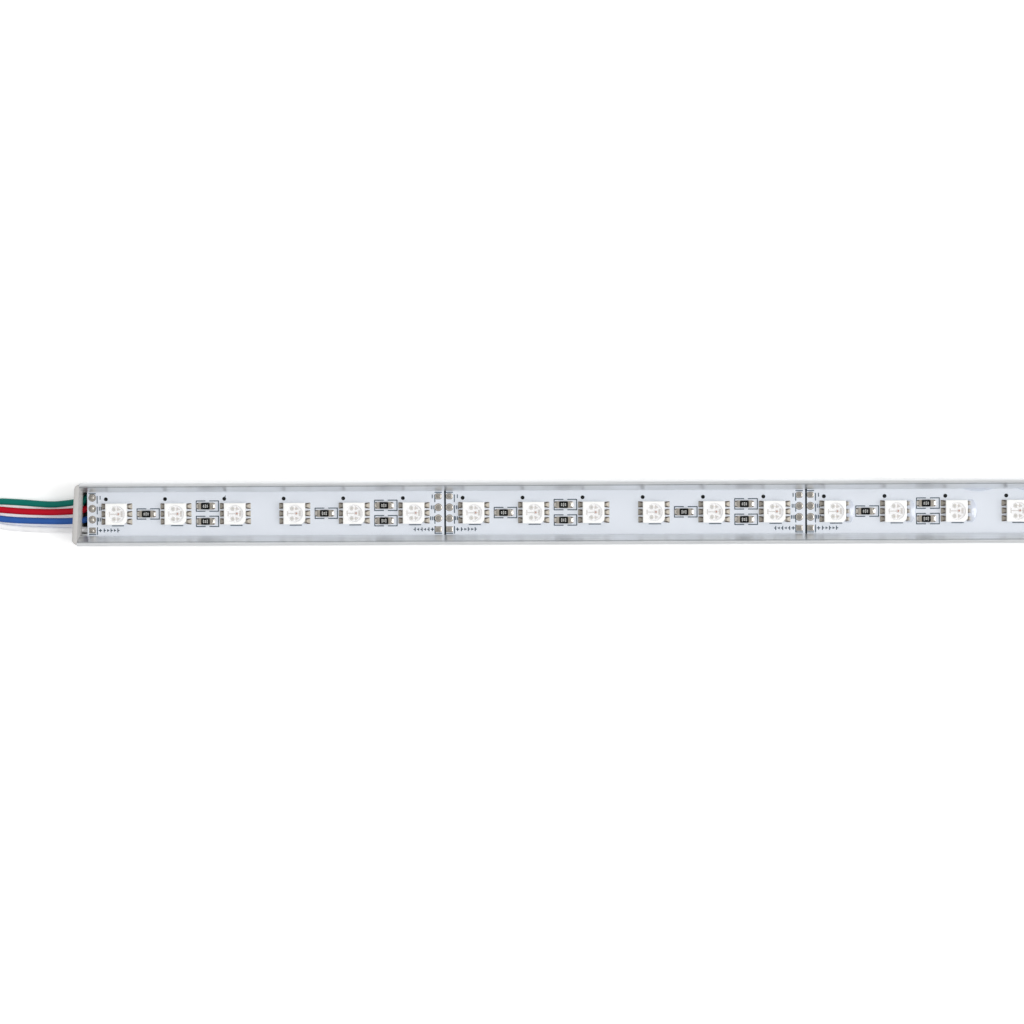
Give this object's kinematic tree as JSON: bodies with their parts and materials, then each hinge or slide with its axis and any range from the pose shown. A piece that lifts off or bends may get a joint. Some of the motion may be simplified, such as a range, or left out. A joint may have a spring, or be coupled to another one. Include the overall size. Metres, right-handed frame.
{
  "type": "led strip batten",
  "caption": "Rigid colour-changing light bar: a scored board of square leds in a shallow aluminium channel, four wires at one end.",
  "frame": {"origin": "centre of the channel's flat back, midway between the circuit board's two ends", "axes": "+X along the bar away from the wired end, +Z the way the light leaves"},
  "size_m": [0.5693, 0.0182, 0.009],
  "materials": {
    "anodised_aluminium": "clear anodised, satin, extrusion lines",
    "white_solder_mask": "screen-printed white solder mask, slight gloss",
    "grey_abs": "moulded, fine texture",
    "led_housing": "moulded white reflector polymer",
    "led_resin": "clear cast resin over a white cup",
    "tinned_copper": "tin plated",
    "resistor_ceramic": "black overglaze",
    "solder": "reflowed, bright",
    "bare_copper": "drawn copper wire",
    "clear_resin": "clear cast silicone",
    "pvc_green": "extruded, semi-matt",
    "pvc_red": "extruded, semi-matt",
    "pvc_blue": "extruded, semi-matt",
    "pvc_white": "extruded, semi-matt",
    "nylon_tie": "woven strap"
  },
  "bodies": {
    "root": {"channel": "anodised_aluminium", "circuit_board": "white_solder_mask", "end_cap_wired": "grey_abs", "end_cap_blank": "grey_abs", "led_01": "led_housing", "led_02": "led_housing", "led_03": "led_housing", "led_04": "led_housing", "led_05": "led_housing", "led_06": "led_housing", "led_07": "led_housing", "led_08": "led_housing", "led_09": "led_housing", "led_10": "led_housing", "led_11": "led_housing", "led_12": "led_housing", "led_13": "led_housing", "led_14": "led_housing", "led_15": "led_housing", "led_16": "led_housing", "led_17": "led_housing", "led_18": "led_housing", "led_19": "led_housing", "led_20": "led_housing", "led_21": "led_housing", "led_22": "led_housing", "led_23": "led_housing", "led_24": "led_housing", "led_25": "led_housing", "led_26": "led_housing", "led_27": "led_housing", "led_28": "led_housing", "led_29": "led_housing", "led_30": "led_housing", "led_31": "led_housing", "led_32": "led_housing", "led_33": "led_housing", "led_34": "led_housing", "led_35": "led_housing", "led_36": "led_housing", "led_windows": "led_resin", "led_leads": "tinned_copper", "resistors_single": "resistor_ceramic", "resistors_paired": "resistor_ceramic", "solder_pads": "tinned_copper", "wire_solder": "solder", "wire_cores": "bare_copper", "clear_coat": "clear_resin", "inner_green": "pvc_green", "inner_red": "pvc_red", "inner_blue": "pvc_blue", "inner_white": "pvc_white", "wire_green": "pvc_green", "wire_red": "pvc_red", "wire_blue": "pvc_blue", "wire_white": "pvc_white", "wire_hank": "pvc_green", "wire_tips": "tinned_copper", "hank_tie": "nylon_tie"}
  },
  "joints": []
}
